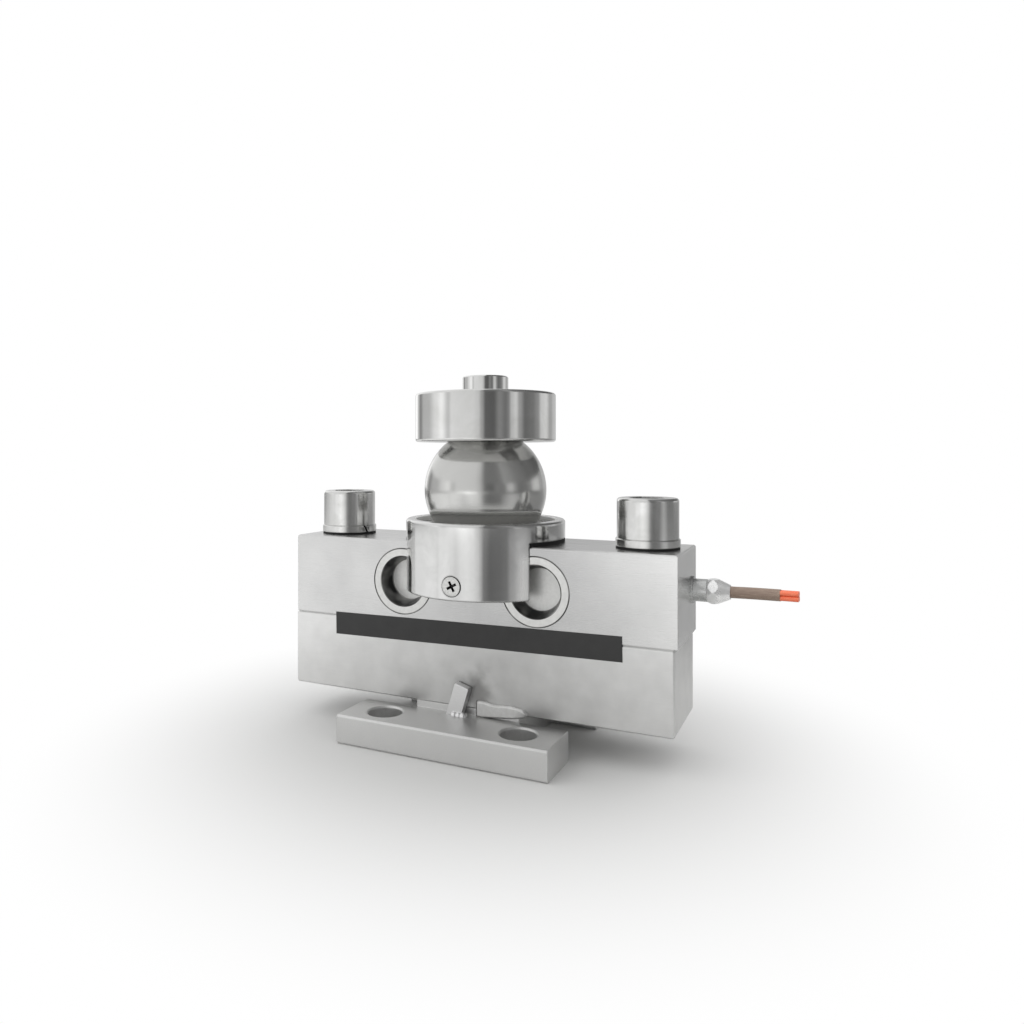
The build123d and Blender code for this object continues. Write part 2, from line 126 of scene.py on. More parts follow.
def makeWorld():
    world = bpy.data.worlds.new("studio")
    scene.world = world
    world.use_nodes = True
    tree = world.node_tree
    tree.nodes.clear()
    direction = addNode(tree, "ShaderNodeTexCoord", take="Generated")
    parts = addNode(tree, "ShaderNodeSeparateXYZ", {0: direction}).node
    back = addNode(tree, "ShaderNodeMath", {0: parts.outputs["Y"], 1: -1.0}, operation="MULTIPLY")
    turn = addNode(tree, "ShaderNodeMath", {0: parts.outputs["X"], 1: back}, operation="ARCTAN2")
    compass = addNode(tree, "ShaderNodeMapRange", {0: turn, 1: -math.pi, 2: math.pi, 3: 0.0, 4: 1.0})
    lift = addNode(tree, "ShaderNodeMath", {0: parts.outputs["Z"]}, operation="ARCSINE")
    tones = []
    # one ramp for each height, with the compass direction running from 0 to 1
    for stops in (studio["lowerWalls"], studio["boltWalls"], studio["walls"], studio["upperWalls"]):
        tones.append(addNode(tree, "ShaderNodeValToRGB", {0: compass}))
        ramp = tones[-1].node.color_ramp
        ramp.interpolation = "EASE"
        ramp.elements.remove(ramp.elements[1])
        ramp.elements[0].position = 0.0
        for degrees, tone in stops:
            stop = ramp.elements.new((degrees + 180) / 360) if degrees > -180 else ramp.elements[0]
            stop.color = (*[tone / studio["strength"]] * 3, 1.0)
    tone = tones[0]
    for limits, above in zip(studio["rises"], tones[1:]):
        low, high = [math.radians(degrees) for degrees in limits]
        share = addNode(tree, "ShaderNodeMapRange", {0: lift, 1: low, 2: high},
                        interpolation_type="SMOOTHSTEP")
        tone = addNode(tree, "ShaderNodeMix", {0: share, 6: tone, 7: above}, **colourMix)
    path = addNode(tree, "ShaderNodeLightPath").node
    seen = addNode(tree, "ShaderNodeBackground", {"Color": white, "Strength": 1.0})
    mirrored = addNode(tree, "ShaderNodeBackground", {"Color": tone, "Strength": studio["strength"]})
    lit = addNode(tree, "ShaderNodeBackground", {"Color": white, "Strength": studio["fill"]})
    glossy = addNode(tree, "ShaderNodeMixShader", {0: path.outputs["Is Glossy Ray"], 1: lit, 2: mirrored})
    shown = addNode(tree, "ShaderNodeMixShader", {0: path.outputs["Is Camera Ray"], 1: glossy, 2: seen})
    addNode(tree, "ShaderNodeOutputWorld", {"Surface": shown})


def newMaterial(name):
    # an empty Principled material, with its object coordinates in metres
    material = bpy.data.materials.new(name)
    material.use_nodes = True
    tree = material.node_tree
    tree.nodes.clear()
    shader = addNode(tree, "ShaderNodeBsdfPrincipled").node
    addNode(tree, "ShaderNodeOutputMaterial", {"Surface": shader.outputs[0]})
    return material, tree, shader, addNode(tree, "ShaderNodeTexCoord", take="Object")


# Matt painted board, just below the foot. Away from the object it fades into the white room; size
# and fades are in metres, the drop in millimetres.
floor = {"colour": "#c6c6c5", "rough": 0.9, "specular": 0.1, "size": 6.0, "drop": 0.02,
         "fade": (0.06, 0.24), "mirrorFade": (0.16, 0.36)}


def makeFloor():
    size = floor["size"]
    mesh = bpy.data.meshes.new("floor")
    corners = [(-size, -size, 0), (size, -size, 0), (size, size, 0), (-size, size, 0)]
    mesh.from_pydata(corners, [], [(0, 1, 2, 3)])
    item = bpy.data.objects.new("floor", mesh)
    item.location.z = -floor["drop"] * mm
    scene.collection.objects.link(item)
    material, tree, shader, place = newMaterial("paintedBoard")
    shader.inputs["Base Color"].default_value = hexColour(floor["colour"])
    shader.inputs["Roughness"].default_value = floor["rough"]
    shader.inputs["Specular IOR Level"].default_value = floor["specular"]
    flat = addNode(tree, "ShaderNodeVectorMath", {0: place, 1: (1, 1, 0)}, operation="MULTIPLY")
    reach = addNode(tree, "ShaderNodeVectorMath", {0: flat}, take="Value", operation="LENGTH")
    room = addNode(tree, "ShaderNodeEmission", {"Color": white, "Strength": 1.0})
    clear = addNode(tree, "ShaderNodeBsdfTransparent")
    path = addNode(tree, "ShaderNodeLightPath").node
    shown = shader.outputs[0]
    for limits, ray, beyond in ((floor["fade"], "Is Camera Ray", room),
                                (floor["mirrorFade"], "Is Glossy Ray", clear)):
        fade = addNode(tree, "ShaderNodeMapRange", {0: reach, 1: limits[0], 2: limits[1]},
                       interpolation_type="SMOOTHSTEP")
        share = addNode(tree, "ShaderNodeMath", {0: fade, 1: path.outputs[ray]}, operation="MULTIPLY")
        shown = addNode(tree, "ShaderNodeMixShader", {0: share, 1: shown, 2: beyond})
    tree.links.new(shown, tree.nodes["Material Output"].inputs["Surface"])
    mesh.materials.append(material)


# two soft boxes for the floor's shadow and the dull pieces; the metal mirrors the walls alone
lamps = {
    "key": {"place": (-0.55, -0.75, 0.95), "size": 1.1, "power": 4.5},
    "top": {"place": (0.15, 0.35, 1.10), "size": 1.2, "power": 2.6},
}
lampAim = (0, 0, 0.08)


def makeLamps():
    for name, lamp in lamps.items():
        data = bpy.data.lights.new(name, "AREA")
        data.size = lamp["size"]
        data.energy = lamp["power"]
        item = bpy.data.objects.new(name, data)
        item.location = lamp["place"]
        item.visible_glossy = False
        aim = Vector(lampAim) - item.location
        item.rotation_euler = aim.to_track_quat("-Z", "Y").to_euler()
        scene.collection.objects.link(item)


makeCamera()
makeWorld()
makeFloor()
makeLamps()
print("camera, studio and lamps made")


# Where the gauge pockets sit on the beam's faces, and the round joints of their sealing cups, in
# millimetres. A joint's painted shade is darker where its patches pass the heavy span.
pocket = {"x": 37.5, "z": 81.0, "floor": 10.7, "mouth": 13.55, "flange": 17.5, "jointWidth": 0.42,
          "jointCore": 0.3, "jointPatch": 14.0, "jointHeavy": (0.40, 0.58), "jointGap": 0.1,
          "joint": "#2a2a29", "jointPale": "#8d8d8b"}


def fromPocket(tree, place):
    # distance in metres from the axis of the nearer pocket
    parts = addNode(tree, "ShaderNodeSeparateXYZ", {0: place}).node
    along = addNode(tree, "ShaderNodeMath", {0: parts.outputs["X"]}, operation="ABSOLUTE")
    moved = addNode(tree, "ShaderNodeCombineXYZ", {0: along, 1: parts.outputs["Z"]})
    offset = addNode(tree, "ShaderNodeVectorMath", {0: moved, 1: (pocket["x"] * mm, pocket["z"] * mm, 0)},
                     operation="SUBTRACT")
    return addNode(tree, "ShaderNodeVectorMath", {0: offset}, take="Value", operation="LENGTH")


def withJoint(tree, place, colour, radius):
    # Painted shade of the joint's gap, with weld discolouration: a thin dark line that comes and goes
    # along it.
    # The real joint is 0.2 mm wide. It is drawn over twice that, fading out on both sides, so that
    # it shows.
    distance = fromPocket(tree, place)
    off = addNode(tree, "ShaderNodeMath", {0: distance, 1: radius * mm}, operation="SUBTRACT")
    off = addNode(tree, "ShaderNodeMath", {0: off}, operation="ABSOLUTE")
    width = pocket["jointWidth"]
    line = addNode(tree, "ShaderNodeMapRange", {0: off, 1: pocket["jointCore"] * width * mm, 2: width * mm,
                                                3: 1.0, 4: 0.0})
    patch = addNode(tree, "ShaderNodeTexNoise", {"Vector": place, "Scale": 1 / (pocket["jointPatch"] * mm),
                                                 "Detail": 2.0})
    low, high = pocket["jointHeavy"]
    heavy = addNode(tree, "ShaderNodeMapRange", {0: patch, 1: low, 2: high, 3: 0.0, 4: 1.0})
    paintedShadeTone = addNode(tree, "ShaderNodeMix", {0: heavy, 6: hexColour(pocket["jointPale"]),
                                           7: hexColour(pocket["joint"])}, **colourMix)
    return addNode(tree, "ShaderNodeMix", {0: line, 6: colour, 7: paintedShadeTone}, **colourMix)


# Ground faces: how much of the brightness is painted light growing with the distance from its most shaded
# place and how much from the clouds, the span of the line noise that shows, how far the lines change
# the roughness, the edge's turn (as a cosine) that counts as rubbed, and the lines' depth in millimetres
grinding = {"paintedLightShare": 0.75, "cloudShare": 0.25, "lineSpan": (0.35, 0.65), "roughSpread": 0.02,
            "edgeSpan": (0.80, 0.995), "depth": 0.02}


def groundSteel(name, look):
    # Alloy steel, surface ground and nickel plated: a calm satin grey with fine lines along X and faint
    # clouds, with painted light that is darkest at one place and paler away from it, and edges rubbed
    # bright. Where the look names one, a painted shadow of the stop lug darkens the face. Real grinding
    # lines are a few hundredths of a millimetre wide, and they are drawn coarser so that they show.
    material, tree, shader, place = newMaterial(name)
    sizes = (look["lineLength"], look["lineWidth"], look["lineWidth"])
    stretched = addNode(tree, "ShaderNodeMapping", {"Vector": place,
                                                    "Scale": [1 / (size * mm) for size in sizes]})
    lines = addNode(tree, "ShaderNodeTexNoise", {"Vector": stretched, "Scale": 1.0, "Detail": 4.0,
                                                 "Roughness": 0.6})
    cloud = addNode(tree, "ShaderNodeTexNoise", {"Vector": place, "Scale": 1 / (look["cloud"] * mm),
                                                 "Detail": 3.0})
    cloudy = addNode(tree, "ShaderNodeMapRange", {0: cloud, 1: noiseLow, 2: noiseHigh})
    # painted light: the face grows paler along X away from its most shaded place, faster on one side
    along = addNode(tree, "ShaderNodeSeparateXYZ", {0: place}, take="X")
    off = addNode(tree, "ShaderNodeMath", {0: along, 1: look["paintedShadeAt"] * mm}, operation="SUBTRACT")
    left, right = [addNode(tree, "ShaderNodeMath", {0: off, 1: grinding["paintedLightShare"] / (reach * mm)},
                           operation="MULTIPLY") for reach in look["paintedLightReach"]]
    paintedLight = addNode(tree, "ShaderNodeMath", {0: left, 1: right}, operation="MAXIMUM")
    bright = addNode(tree, "ShaderNodeMath", {0: cloudy, 1: grinding["cloudShare"], 2: paintedLight},
                     operation="MULTIPLY_ADD")
    tone = addNode(tree, "ShaderNodeMix", {0: bright, 6: hexColour(look["dark"]),
                                           7: hexColour(look["pale"])}, **colourMix)
    # painted shadow of the stop lug on the face beside it, with a wandering edge
    if look["lugShadowAt"]:
        spot = addNode(tree, "ShaderNodeVectorMath", {0: place, 1: Vector(look["lugShadowAt"]) * mm},
                       take="Value", operation="DISTANCE")
        wander = addNode(tree, "ShaderNodeMath", {0: cloud, 1: look["lugShadowWander"] * mm, 2: spot},
                         operation="MULTIPLY_ADD")
        full, gone = look["lugShadowReach"]
        near = addNode(tree, "ShaderNodeMapRange", {0: wander, 1: full * mm, 2: gone * mm,
                                                    3: look["lugShadowShare"], 4: 0.0},
                       interpolation_type="SMOOTHSTEP")
        tone = addNode(tree, "ShaderNodeMix", {0: near, 6: tone, 7: hexColour(look["lugShadow"])}, **colourMix)
    low, high = grinding["lineSpan"]
    scored = addNode(tree, "ShaderNodeMapRange", {0: lines, 1: low, 2: high, 3: 0.0, 4: look["lineTone"]})
    tone = addNode(tree, "ShaderNodeMix", {0: scored, 6: tone, 7: hexColour(look["line"])}, **colourMix)
    rounded = addNode(tree, "ShaderNodeBevel", {"Radius": look["edge"] * mm}, samples=4)
    plain = addNode(tree, "ShaderNodeNewGeometry", take="Normal")
    alike = addNode(tree, "ShaderNodeVectorMath", {0: rounded, 1: plain}, take="Value",
                    operation="DOT_PRODUCT")
    low, high = grinding["edgeSpan"]
    edge = addNode(tree, "ShaderNodeMapRange", {0: alike, 1: low, 2: high, 3: look["wear"], 4: 0.0})
    tone = addNode(tree, "ShaderNodeMix", {0: edge, 6: tone, 7: hexColour(look["worn"])}, **colourMix)
    if look["joints"]:
        tone = withJoint(tree, place, tone, pocket["flange"] + pocket["jointGap"])
    tree.links.new(tone, shader.inputs["Base Color"])
    shader.inputs["Metallic"].default_value = 1.0
    spread = grinding["roughSpread"]
    rough = addNode(tree, "ShaderNodeMapRange", {0: lines, 1: noiseLow, 2: noiseHigh,
                                                 3: look["rough"] - spread, 4: look["rough"] + spread})
    tree.links.new(rough, shader.inputs["Roughness"])
    bump = addNode(tree, "ShaderNodeBump", {"Height": lines, "Strength": look["relief"],
                                            "Distance": grinding["depth"] * mm, "Normal": rounded})
    tree.links.new(bump, shader.inputs["Normal"])
    return material


# surface ground and nickel plated: long fine lines and a soft, broad shine
beamLook = {"dark": "#b2b2b2", "pale": "#eaeae9", "line": "#c4c4c3", "worn": "#f6f6f5", "wear": 1.0,
            "lineLength": 18.0, "lineWidth": 0.30, "lineTone": 0.06, "cloud": 30.0, "paintedShadeAt": 36.0,
            "paintedLightReach": (-210, 76), "lugShadowAt": None, "edge": 0.6, "rough": 0.26, "relief": 0.02,
            "joints": True}
# milled and nickel plated: shorter lines, duller, with a painted shadow of the stop lug at its foot
baseLook = {"dark": "#b9b9b8", "pale": "#e8e8e7", "line": "#b8b8b7", "worn": "#f4f4f3", "wear": 1.0,
            "lineLength": 14.0, "lineWidth": 0.35, "lineTone": 0.05, "cloud": 12.0, "paintedShadeAt": 22.0,
            "paintedLightReach": (-110, 90), "lugShadowAt": (6.0, -25.0, 26.5), "lugShadowReach": (12.0, 24.0),
            "lugShadowWander": 20.0, "lugShadowShare": 0.75, "lugShadow": "#7c7b7a", "edge": 0.6, "rough": 0.32,
            "relief": 0.02, "joints": False}
# bead blasted: matt and even, the same from every side
footLook = {"dark": "#d6d6d5", "pale": "#e4e4e3", "line": "#c4c4c3", "worn": "#e2e2e1", "wear": 0.8,
            "lineLength": 0.5, "lineWidth": 0.5, "lineTone": 0.20, "cloud": 14.0, "paintedShadeAt": 10.0,
            "paintedLightReach": (-70, 70), "lugShadowAt": None, "edge": 0.8, "rough": 0.46, "relief": 0.35,
            "joints": False}
# laid weld: a rippled, half bright bead
weldLook = {"dark": "#cfcfce", "pale": "#dededd", "line": "#bcbbb9", "worn": "#ebebea", "wear": 0.7,
            "lineLength": 2.2, "lineWidth": 3.4, "lineTone": 0.40, "cloud": 6.0, "paintedShadeAt": 0.0,
            "paintedLightReach": (-30, 30), "lugShadowAt": None, "edge": 0.8, "rough": 0.36, "relief": 0.5,
            "joints": False}
# sawn from bright bar: pale, with short scratches
lugLook = {"dark": "#e4e4e4", "pale": "#ececec", "line": "#d0d0cf", "worn": "#ededed", "wear": 0.8,
           "lineLength": 4.0, "lineWidth": 0.5, "lineTone": 0.15, "cloud": 8.0, "paintedShadeAt": 0.0,
           "paintedLightReach": (-30, 30), "lugShadowAt": None, "edge": 0.5, "rough": 0.30, "relief": 0.1,
           "joints": False}


# Turned faces: the spans of the smudges that tint and that dull, and the grooves' depth in
# millimetres
turning = {"smearSpan": (0.35, 0.7), "hazeSpan": (0.35, 0.75), "depth": 0.004}
quarterTurn = 0.25  # stands the streaks upright


def turnedSteel(name, look, axis=(0.0, 0.0)):
    # Steel turned and polished: light drawn out into upright streaks by grooves that run round
    # the axis, with faint smudges from handling. Inside the given radius and beside the slot it is
    # painted near white and dull, a painted reflection that stands in for bright light there. Real
    # polishing grooves are under 0.1 mm apart, and they are drawn coarser so that they show.
    material, tree, shader, place = newMaterial(name)
    centre = Vector((axis[0], axis[1], 0)) * mm
    fromAxis = addNode(tree, "ShaderNodeVectorMath", {0: place, 1: centre}, operation="SUBTRACT")
    around = addNode(tree, "ShaderNodeVectorMath", {0: (0, 0, 1), 1: fromAxis}, operation="CROSS_PRODUCT")
    tangent = addNode(tree, "ShaderNodeVectorMath", {0: around}, operation="NORMALIZE")
    flat = addNode(tree, "ShaderNodeVectorMath", {0: fromAxis, 1: (1, 1, 0)}, operation="MULTIPLY")
    radius = addNode(tree, "ShaderNodeVectorMath", {0: flat}, take="Value", operation="LENGTH")
    height = addNode(tree, "ShaderNodeSeparateXYZ", {0: place}, take="Z")
    ring = addNode(tree, "ShaderNodeCombineXYZ", {0: radius, 1: height})
    grooves = addNode(tree, "ShaderNodeTexNoise", {"Vector": ring, "Scale": 1 / (look["groove"] * mm),
                                                   "Detail": 3.0, "Roughness": 0.65},
                      noise_dimensions="2D")
    smudge = addNode(tree, "ShaderNodeTexNoise", {"Vector": place, "Scale": 1 / (look["smudge"] * mm),
                                                  "Detail": 4.0, "Roughness": 0.6, "Distortion": 0.6})
    low, high = turning["smearSpan"]
    smeared = addNode(tree, "ShaderNodeMapRange", {0: smudge, 1: low, 2: high})
    tone = addNode(tree, "ShaderNodeMix", {0: smeared, 6: hexColour(look["pale"]),
                                           7: hexColour(look["dark"])}, **colourMix)
    low, high = turning["hazeSpan"]
    rough = addNode(tree, "ShaderNodeMapRange", {0: smudge, 1: low, 2: high, 3: look["rough"],
                                                 4: look["rough"] + look["haze"]})
    shader.inputs["Metallic"].default_value = look["metal"]
    # painted reflection: near white and dull inside the radius and beside the slot
    if look["inside"]:
        full, gone = look["inside"]
        within = addNode(tree, "ShaderNodeMapRange", {0: radius, 1: full * mm, 2: gone * mm,
                                                      3: 1.0, 4: 0.0})
        across = addNode(tree, "ShaderNodeSeparateXYZ", {0: place}, take="Y")
        across = addNode(tree, "ShaderNodeMath", {0: across}, operation="ABSOLUTE")
        full, gone = look["slotEdge"]
        slotEdge = addNode(tree, "ShaderNodeMapRange", {0: across, 1: full * mm, 2: gone * mm,
                                                        3: look["slotShare"], 4: 0.0})
        full, gone = look["slotTop"]
        skirt = addNode(tree, "ShaderNodeMapRange", {0: height, 1: full * mm, 2: gone * mm,
                                                     3: 1.0, 4: 0.0})
        slotEdge = addNode(tree, "ShaderNodeMath", {0: slotEdge, 1: skirt}, operation="MULTIPLY")
        within = addNode(tree, "ShaderNodeMath", {0: within, 1: slotEdge}, operation="MAXIMUM")
        tone = addNode(tree, "ShaderNodeMix", {0: within, 6: tone, 7: hexColour(look["insidePaintedTone"])},
                       **colourMix)
        rough = addNode(tree, "ShaderNodeMix", {0: within, 2: rough, 3: look["insideRough"]})
        metal = addNode(tree, "ShaderNodeMapRange", {0: within, 3: look["metal"], 4: look["insideMetal"]})
        tree.links.new(metal, shader.inputs["Metallic"])
    tree.links.new(tone, shader.inputs["Base Color"])
    tree.links.new(rough, shader.inputs["Roughness"])
    shader.inputs["Anisotropic"].default_value = look["streak"]
    shader.inputs["Anisotropic Rotation"].default_value = quarterTurn
    tree.links.new(tangent, shader.inputs["Tangent"])
    rounded = addNode(tree, "ShaderNodeBevel", {"Radius": look["edge"] * mm}, samples=4)
    bump = addNode(tree, "ShaderNodeBump", {"Height": grooves, "Strength": look["relief"],
                                            "Distance": turning["depth"] * mm, "Normal": rounded})
    tree.links.new(bump, shader.inputs["Normal"])
    return material


# turned and polished: clear upright streaks
cupLook = {"pale": "#dededd", "dark": "#d4d4d2", "groove": 0.25, "smudge": 16.0, "rough": 0.07,
           "haze": 0.03, "streak": 0.7, "edge": 0.4, "relief": 0.2, "metal": 1.0, "inside": None}
# cast, then turned and polished outside: softer streaks and a well rounded edge, and painted near
# white and dull inside and beside the slot as a painted reflection
saddleLook = {"pale": "#d9d9d8", "dark": "#cfcfce", "groove": 0.25, "smudge": 14.0, "rough": 0.08,
              "haze": 0.04, "streak": 0.6, "edge": 1.0, "relief": 0.2, "metal": 1.0,
              "inside": (38.3, 38.5), "insidePaintedTone": "#fcfcfb", "insideRough": 0.5, "insideMetal": 0.15,
              "slotTop": (96.0, 103.0), "slotEdge": (28.0, 31.0), "slotShare": 0.5}
# hardened and lapped: a plain mirror, a little blurred, with no direction
ballLook = {"pale": "#cdcdcb", "dark": "#c6c6c4", "groove": 0.3, "smudge": 24.0, "rough": 0.15,
            "haze": 0.04, "streak": 0.0, "edge": 0.1, "relief": 0.03, "metal": 0.94, "inside": None}
# forged, turned and chromed: bright, with short broad streaks
boltLook = {"pale": "#dededd", "dark": "#d2d2d0", "groove": 0.22, "smudge": 9.0, "rough": 0.15,
            "haze": 0.05, "streak": 0.55, "edge": 0.6, "relief": 0.2, "metal": 1.0, "inside": None}
# turned brass, nickel plated: grey and half dull
glandLook = {"pale": "#cfd0cf", "dark": "#bcbdbc", "groove": 0.3, "smudge": 5.0, "rough": 0.24,
             "haze": 0.08, "streak": 0.0, "edge": 0.5, "relief": 0.2, "metal": 1.0, "inside": None}
# the same, painted near white and half dull: a painted highlight over the whole nut
nutLook = {"pale": "#ffffff", "dark": "#f2f3f2", "groove": 0.3, "smudge": 5.0, "rough": 0.26,
           "haze": 0.10, "streak": 0.0, "edge": 0.7, "relief": 0.2, "metal": 0.7, "inside": None}


def pressedStainless(name, look):
    # Stainless sheet, deep drawn and welded in: pale satin floor and flange with a faint orange
    # peel, and a steep wall darkened by painted shade, in patches from near black to mid grey
    material, tree, shader, place = newMaterial(name)
    peel = addNode(tree, "ShaderNodeTexNoise", {"Vector": place, "Scale": 1 / (look["peel"] * mm),
                                                "Detail": 3.0})
    distance = fromPocket(tree, place)
    inner, outer = [(pocket["floor"] + step) * mm for step in look["floorEdge"]]
    floorEdge = addNode(tree, "ShaderNodeMapRange", {0: distance, 1: inner, 2: outer},
                        interpolation_type="SMOOTHSTEP")
    mouth = pocket["mouth"] * mm
    mouthEdge = addNode(tree, "ShaderNodeMapRange", {0: distance, 1: mouth,
                                                     2: (pocket["mouth"] + look["mouthEdge"]) * mm,
                                                     3: 1.0, 4: 0.0}, interpolation_type="SMOOTHSTEP")
    wall = addNode(tree, "ShaderNodeMath", {0: floorEdge, 1: mouthEdge}, operation="MULTIPLY")
    # painted shade on the pocket's steep wall, in patches
    patch = addNode(tree, "ShaderNodeTexNoise", {"Vector": place, "Scale": 1 / (look["patch"] * mm),
                                                 "Detail": 2.0})
    low, high = look["wallShadeSpan"]
    wallShadePatches = addNode(tree, "ShaderNodeMapRange", {0: patch, 1: low, 2: high})
    wallShade = addNode(tree, "ShaderNodeMix", {0: wallShadePatches, 6: hexColour(look["wallShade"]),
                                           7: hexColour(look["wallShadePale"])}, **colourMix)
    peeled = addNode(tree, "ShaderNodeMapRange", {0: peel, 1: noiseLow, 2: noiseHigh})
    sheet = addNode(tree, "ShaderNodeMix", {0: peeled, 6: hexColour(look["pale"]),
                                            7: hexColour(look["dark"])}, **colourMix)
    tone = addNode(tree, "ShaderNodeMix", {0: wall, 6: sheet, 7: wallShade}, **colourMix)
    tone = withJoint(tree, place, tone, pocket["flange"])
    tree.links.new(tone, shader.inputs["Base Color"])
    metal = addNode(tree, "ShaderNodeMapRange", {0: distance, 1: mouth,
                                                 2: (pocket["mouth"] + look["metalEdge"]) * mm,
                                                 3: look["metalInside"], 4: 1.0})
    tree.links.new(metal, shader.inputs["Metallic"])
    smooth, coarse = [look["rough"] + step for step in look["roughSpread"]]
    rough = addNode(tree, "ShaderNodeMapRange", {0: peel, 1: noiseLow, 2: noiseHigh, 3: smooth, 4: coarse})
    tree.links.new(rough, shader.inputs["Roughness"])
    bump = addNode(tree, "ShaderNodeBump", {"Height": peel, "Strength": look["relief"],
                                            "Distance": look["depth"] * mm})
    tree.links.new(bump, shader.inputs["Normal"])
    return material


sealingCupLook = {"pale": "#dededc", "dark": "#d6d6d4", "wallShade": "#2a2a2a", "wallShadePale": "#8a8a88",
                  "patch": 14.0, "wallShadeSpan": (0.42, 0.62), "peel": 1.6, "floorEdge": (-0.2, 0.4),
                  "mouthEdge": 0.35, "metalEdge": 0.4, "metalInside": 0.65, "rough": 0.36,
                  "roughSpread": (-0.03, 0.04), "relief": 0.12, "depth": 0.01}


def recessedSteel(name, look):
    # Zinc plated screw: bright, with painted shade in its recess and a painted shadow on the
    # side of its rim that points to the cable end
    material, tree, shader, place = newMaterial(name)
    grain = addNode(tree, "ShaderNodeTexNoise", {"Vector": place, "Scale": 1 / (look["grain"] * mm),
                                                 "Detail": 3.0})
    # painted shade: darker where ambient occlusion finds the recess, and a painted shadow on the rim outside
    # the unshaded spot
    corner = addNode(tree, "ShaderNodeAmbientOcclusion", {"Distance": look["corner"] * mm}, take="AO",
                     samples=8)
    unshaded = addNode(tree, "ShaderNodeMapRange", {0: corner, 1: look["shadeBelow"], 2: look["unshadedAbove"]})
    flat = addNode(tree, "ShaderNodeVectorMath", {0: place, 1: (1, 0, 1)}, operation="MULTIPLY")
    off = addNode(tree, "ShaderNodeVectorMath", {0: flat, 1: Vector(look["unshadedAt"]) * mm}, take="Value",
                  operation="DISTANCE")
    full, gone = look["unshadedReach"]
    unshadedSpot = addNode(tree, "ShaderNodeMapRange", {0: off, 1: full * mm, 2: gone * mm, 3: 1.0, 4: 0.0})
    unshaded = addNode(tree, "ShaderNodeMath", {0: unshaded, 1: unshadedSpot}, operation="MULTIPLY")
    grained = addNode(tree, "ShaderNodeMapRange", {0: grain, 1: noiseLow, 2: noiseHigh})
    bright = addNode(tree, "ShaderNodeMix", {0: grained, 6: hexColour(look["dark"]),
                                             7: hexColour(look["pale"])}, **colourMix)
    tone = addNode(tree, "ShaderNodeMix", {0: unshaded, 6: hexColour(look["paintedShadeTone"]), 7: bright}, **colourMix)
    tree.links.new(tone, shader.inputs["Base Color"])
    shader.inputs["Metallic"].default_value = 1.0
    shader.inputs["Roughness"].default_value = look["rough"]
    rounded = addNode(tree, "ShaderNodeBevel", {"Radius": look["edge"] * mm}, samples=4)
    bump = addNode(tree, "ShaderNodeBump", {"Height": grain, "Strength": look["relief"],
                                            "Distance": look["depth"] * mm, "Normal": rounded})
    tree.links.new(bump, shader.inputs["Normal"])
    return material


screwLook = {"pale": "#dadad8", "dark": "#c4c4c2", "paintedShadeTone": "#121212", "grain": 0.8, "corner": 2.6,
             "shadeBelow": 0.66, "unshadedAbove": 0.96, "unshadedAt": (-0.6, 0.0, 83.3),
             "unshadedReach": (5.0, 5.3), "rough": 0.24, "edge": 0.2, "relief": 0.3, "depth": 0.02}


# plastics: how far the grain changes the roughness, and its depth in millimetres
moulding = {"roughSpread": 0.06, "depth": 0.05}


def moulded(name, look):
    # Rubber, PVC, polyimide or epoxy board: dull or glossy plastic with a fine grain and a tone
    # that wanders a little. The real grain is finer than a pixel and is drawn as coarse as it needs
    # to show.
    material, tree, shader, place = newMaterial(name)
    stretched = addNode(tree, "ShaderNodeMapping", {"Vector": place,
                                                    "Scale": [1 / (size * mm) for size in look["grain"]]})
    grain = addNode(tree, "ShaderNodeTexNoise", {"Vector": stretched, "Scale": 1.0, "Detail": 4.0,
                                                 "Roughness": 0.6})
    grained = addNode(tree, "ShaderNodeMapRange", {0: grain, 1: noiseLow, 2: noiseHigh})
    tone = addNode(tree, "ShaderNodeMix", {0: grained, 6: hexColour(look["dark"]),
                                           7: hexColour(look["pale"])}, **colourMix)
    tree.links.new(tone, shader.inputs["Base Color"])
    spread = moulding["roughSpread"]
    rough = addNode(tree, "ShaderNodeMapRange", {0: grain, 1: noiseLow, 2: noiseHigh,
                                                 3: look["rough"] - spread, 4: look["rough"] + spread})
    tree.links.new(rough, shader.inputs["Roughness"])
    shader.inputs["IOR"].default_value = look["ior"]
    bump = addNode(tree, "ShaderNodeBump", {"Height": grain, "Strength": look["relief"],
                                            "Distance": moulding["depth"] * mm})
    tree.links.new(bump, shader.inputs["Normal"])
    return material


# moulded nitrile rubber: near black and matt
nitrileLook = {"dark": "#060606", "pale": "#0e0e0e", "grain": (0.6, 0.6, 0.6), "rough": 0.70,
               "ior": 1.52, "relief": 0.4}
# the same rubber under dust and grease: mid grey and matt
dustRingLook = {"dark": "#757573", "pale": "#858582", "grain": (0.8, 0.8, 0.8), "rough": 0.60,
                "ior": 1.52, "relief": 0.4}
# calendered vinyl film: even dark grey with a faint sheen
filmLook = {"dark": "#232323", "pale": "#2c2c2c", "grain": (9.0, 9.0, 9.0), "rough": 0.42,
            "ior": 1.50, "relief": 0.05}
# extruded PVC: brown and half matt, drawn out along the cable
sheathLook = {"dark": "#846f63", "pale": "#9b8879", "grain": (6.0, 0.7, 0.7), "rough": 0.48,
              "ior": 1.53, "relief": 0.3}
# extruded PVC insulation: orange red with a soft gloss
coreLook = {"dark": "#ea6640", "pale": "#f48864", "grain": (3.0, 0.8, 0.8), "rough": 0.30,
            "ior": 1.50, "relief": 0.15}
# polyimide film: amber and satin
gaugeLook = {"dark": "#a8742c", "pale": "#c08a3c", "grain": (1.5, 1.5, 1.5), "rough": 0.35,
             "ior": 1.60, "relief": 0.1}
